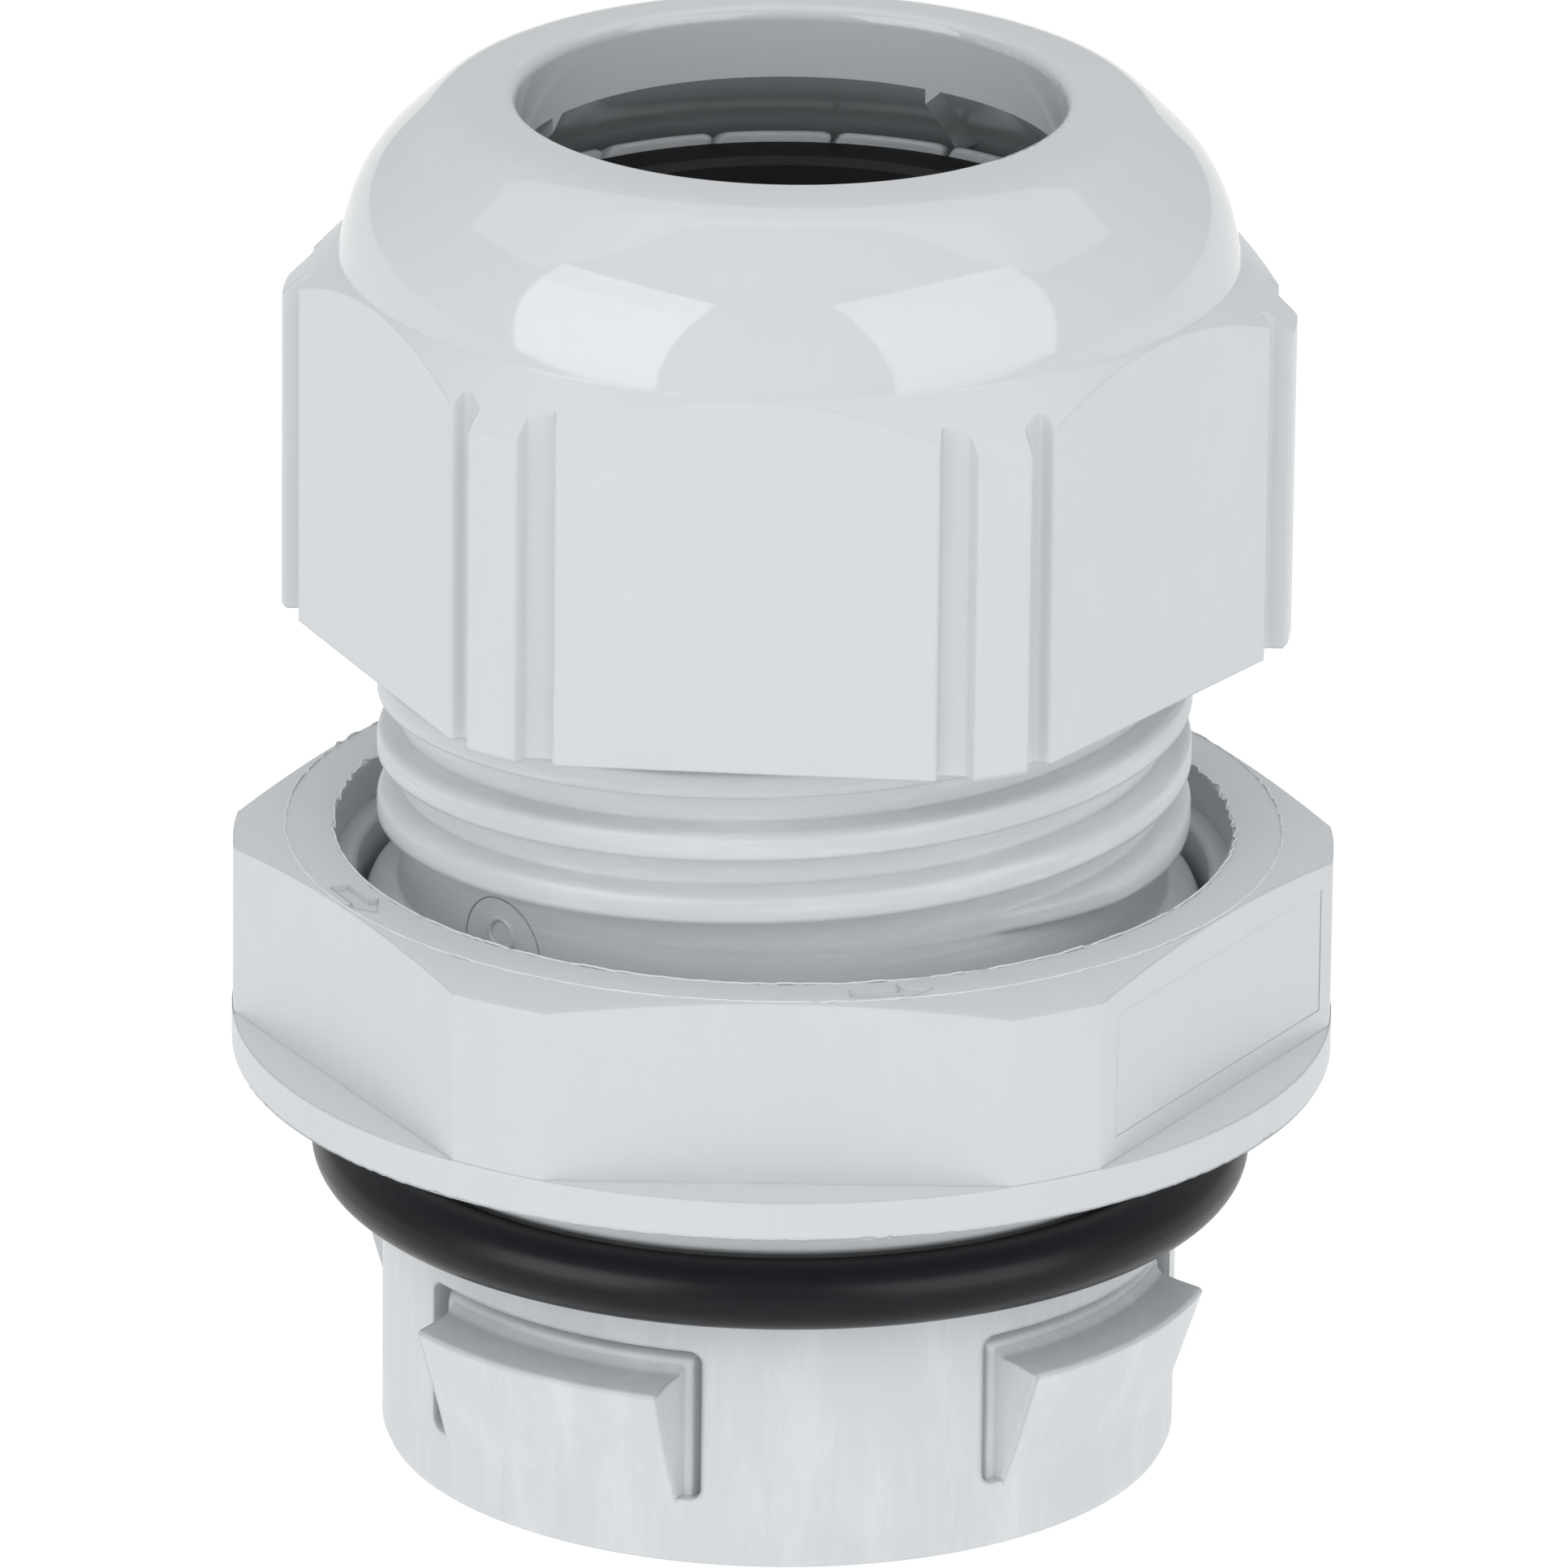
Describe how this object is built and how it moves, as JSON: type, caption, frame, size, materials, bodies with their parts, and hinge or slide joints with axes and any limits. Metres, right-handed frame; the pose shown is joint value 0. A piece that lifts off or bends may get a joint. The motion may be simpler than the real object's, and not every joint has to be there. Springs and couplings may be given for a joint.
{
  "type": "snap-in cable gland",
  "caption": "Snap-in cable gland: round barrel with snap tongues, O-ring, closing ring nut, coarse thread, lamellae round a soft seal, and a domed cap nut.",
  "frame": {"origin": "on the gland's axis, in the plane of the barrel's lower end", "axes": "+Z along the axis, towards the cap; -Y is the front, from which the picture was taken"},
  "size_m": [0.0442, 0.0442, 0.0566],
  "materials": {
    "satin_grey": "satin moulded polyamide, light grey",
    "gloss_grey": "glossy moulded polyamide, light grey",
    "black_rubber": "satin black elastomer"
  },
  "bodies": {
    "gland_body": {"gland_body": "satin_grey", "sealing_insert": "black_rubber"},
    "cap_nut": {"cap_nut": "gloss_grey"},
    "o_ring": {"o_ring": "black_rubber"},
    "ring_nut": {"ring_nut": "satin_grey"}
  },
  "joints": [
    {"name": "cap_turn", "type": "hinge", "parent": "gland_body", "child": "cap_nut", "pos_m": [0, 0, 0.044], "axis": [0, 0, 1], "range_deg": [-180, 180]},
    {"name": "ring_slide", "type": "slide", "parent": "gland_body", "child": "o_ring", "axis": [0, 0, -1], "range_m": [0, 0.0015]},
    {"name": "nut_turn", "type": "hinge", "parent": "o_ring", "child": "ring_nut", "pos_m": [0, 0, 0.021], "axis": [0, 0, 1], "range_deg": [0, 100]}
  ],
  "couplings": [
    {"joint": "ring_slide", "follows": "nut_turn", "m_per_rad": 0.000834}
  ]
}
